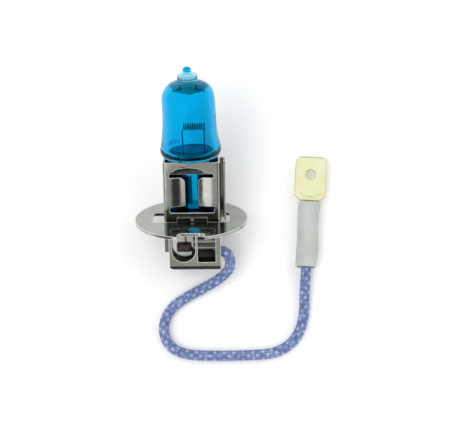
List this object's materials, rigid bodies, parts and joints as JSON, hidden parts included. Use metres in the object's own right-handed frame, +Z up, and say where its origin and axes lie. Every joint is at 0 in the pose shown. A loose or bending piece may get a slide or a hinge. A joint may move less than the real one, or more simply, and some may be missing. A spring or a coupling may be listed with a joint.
{
  "type": "halogen headlight bulb",
  "caption": "Blue-tinted halogen headlight bulb in a flanged sheet-metal cap, with a short braided lead that ends in a flat blade terminal.",
  "frame": {"origin": "on the table under the middle of the lamp's box, without the free lead and its terminal", "axes": "+Z up from the table; +Y horizontally towards the glass tip, which is tipped up 30 degrees; +X to the right, where the lead leaves the foot"},
  "size_m": [0.0384, 0.0538, 0.0266],
  "materials": {
    "blue_glass": "clear quartz with a blue absorbing coat",
    "plated_steel": "bright nickel-plated sheet",
    "tungsten": "drawn tungsten wire",
    "molybdenum": "rolled foil and wire",
    "copper_strand": "bare copper strands, heat-tinted at the weld",
    "brass_blade": "pale brass sheet",
    "braid": "periwinkle blue braided glass-fibre cover with pale flecks",
    "sleeve": "soft grey-white insulating sleeve"
  },
  "bodies": {
    "root": {"glass_capsule": "blue_glass", "flange_disc": "plated_steel", "holder_front": "plated_steel", "holder_rear": "plated_steel", "filament_coil": "tungsten", "support_post_left": "molybdenum", "support_post_right": "molybdenum", "foil_left": "molybdenum", "foil_right": "molybdenum", "outer_pin_live": "molybdenum", "outer_pin_ground": "molybdenum", "lead_ferrule": "plated_steel", "strand_weld_block": "copper_strand", "lead_core_foot": "copper_strand", "lead_core_tip": "copper_strand", "lead_braid": "braid", "terminal_blade": "brass_blade", "insulating_sleeve": "sleeve"}
  },
  "joints": []
}
